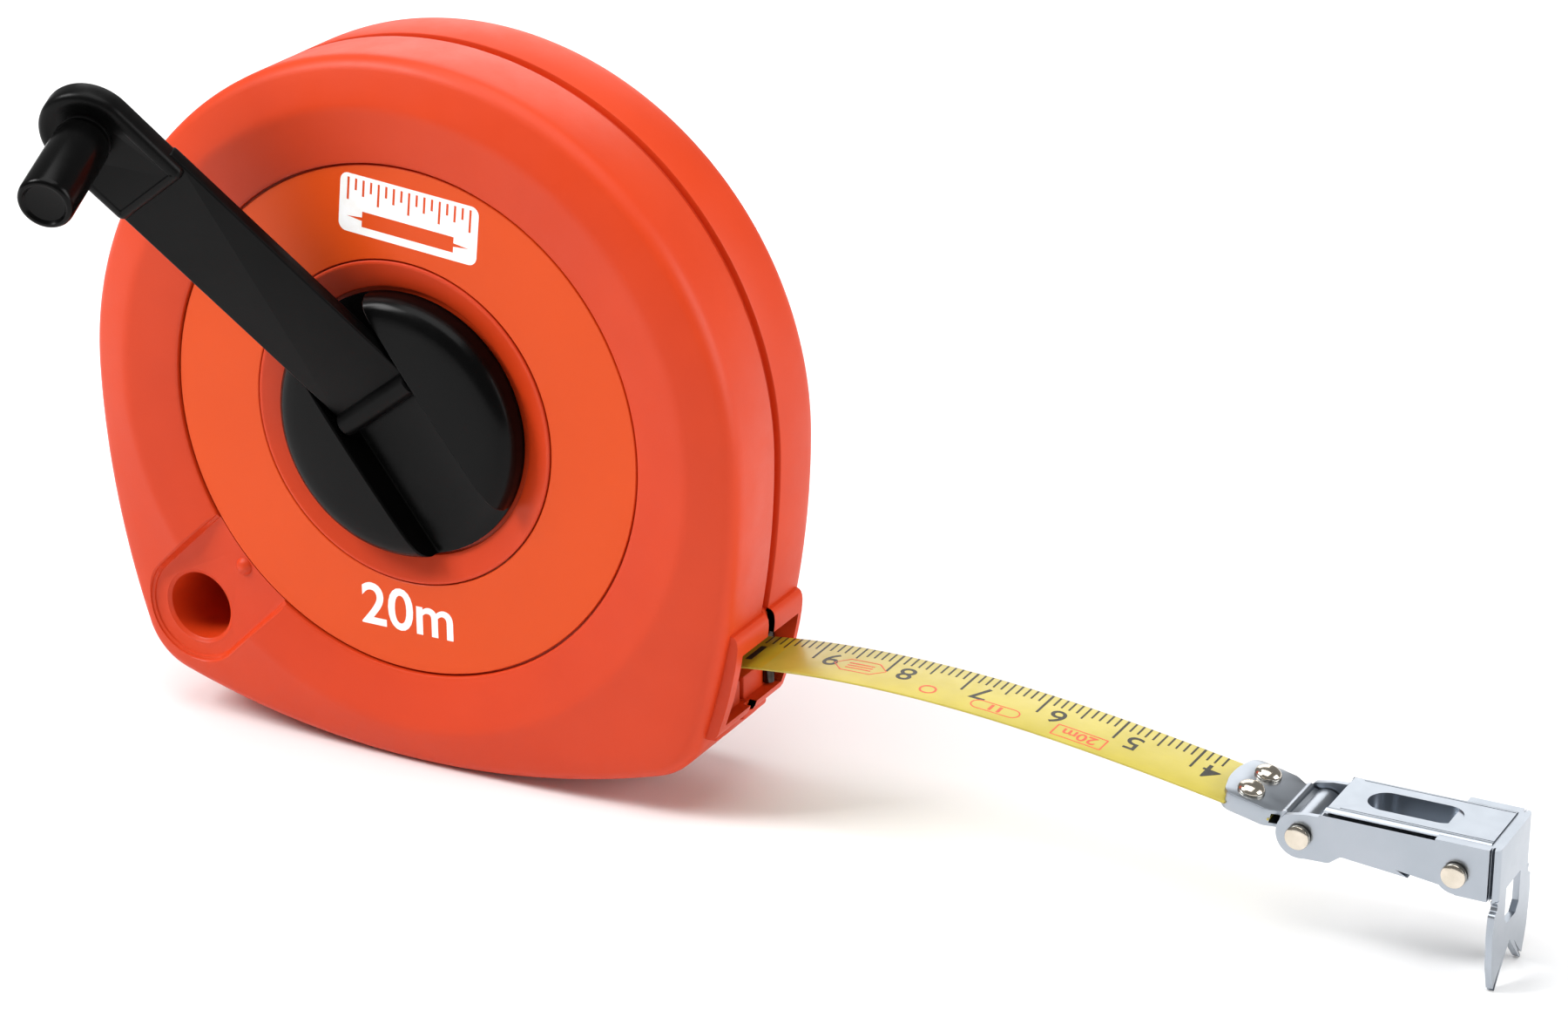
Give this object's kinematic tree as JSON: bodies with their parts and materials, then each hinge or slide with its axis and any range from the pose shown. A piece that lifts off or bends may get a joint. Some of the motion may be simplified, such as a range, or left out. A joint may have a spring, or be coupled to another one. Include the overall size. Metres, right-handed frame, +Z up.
{
  "type": "surveyor tape reel",
  "caption": "Closed-case steel measuring tape reel with a folding winding crank, a parking socket for its knob, and a hinged end hook with a pronged claw.",
  "frame": {"origin": "on the reel axis, in the flat rear face of the case", "axes": "+Z up, +X the way the tape leaves the case, +Y out of the rear face, so the crank is on the -Y side"},
  "size_m": [0.1874, 0.0571, 0.0926],
  "materials": {
    "case_abs": "moulded ABS, satin, orange red",
    "label_print": "printed self-adhesive vinyl, orange",
    "crank_plastic": "moulded acetal, black, polished hub and finely textured arm",
    "drum_plastic": "moulded polypropylene, off white",
    "tape_lacquer": "spring steel strip, yellow lacquer with black and red print",
    "plated_steel": "pressed steel, satin zinc plate",
    "bright_steel": "bright nickel-plated steel",
    "brake_felt": "pressed wool felt"
  },
  "bodies": {
    "case": {"front_shell": "case_abs", "rear_shell": "case_abs", "front_label": "label_print", "case_screw_1": "plated_steel", "case_screw_2": "plated_steel", "case_screw_3": "plated_steel", "case_screw_4": "plated_steel", "mouth_wear_pin": "bright_steel"},
    "reel": {"crank_hub": "crank_plastic", "crank_hinge_pin": "bright_steel", "reel_core": "drum_plastic", "front_flange": "drum_plastic", "rear_flange": "drum_plastic", "tape_coil": "tape_lacquer", "brake_washer": "brake_felt", "spindle_washer": "plated_steel", "spindle_screw": "plated_steel"},
    "crank": {"crank_arm": "crank_plastic", "knob_stem": "plated_steel"},
    "knob": {"crank_knob": "crank_plastic"},
    "tape_end": {"tape_blade": "tape_lacquer", "tape_clip": "plated_steel", "tape_rivet_1": "bright_steel", "tape_rivet_2": "bright_steel", "frame_pin": "bright_steel"},
    "hook": {"hook_frame": "plated_steel", "claw_pin": "bright_steel"},
    "claw": {"end_claw": "plated_steel"}
  },
  "joints": [
    {"name": "tape_pull", "type": "slide", "parent": "case", "child": "tape_end", "axis": [0.9973, 0, -0.0732], "range_m": [-0.0561, 0.012], "deforming": ["tape_blade"]},
    {"name": "crank_spin", "type": "hinge", "parent": "case", "child": "reel", "pos_m": [0, -0.011, 0], "axis": [0, -1, 0], "continuous": true},
    {"name": "crank_fold", "type": "hinge", "parent": "reel", "child": "crank", "pos_m": [-0.00231, -0.0237, 0.00301], "axis": [0.7934, 0, 0.6088], "range_deg": [-18.4, 136]},
    {"name": "knob_spin", "type": "hinge", "parent": "crank", "child": "knob", "pos_m": [-0.02965, -0.04203, 0.03864], "axis": [0.23, -0.9259, -0.2998], "continuous": true},
    {"name": "frame_swing", "type": "hinge", "parent": "tape_end", "child": "hook", "pos_m": [0.1168, -0.011, -0.0318], "axis": [0, 1, 0], "range_deg": [-60, 75]},
    {"name": "claw_swing", "type": "hinge", "parent": "hook", "child": "claw", "pos_m": [0.136, -0.011, -0.0317], "axis": [0, 1, 0], "range_deg": [0, 90]}
  ],
  "couplings": [
    {"joint": "crank_spin", "follows": "tape_pull", "rad_per_m": 27.778}
  ]
}
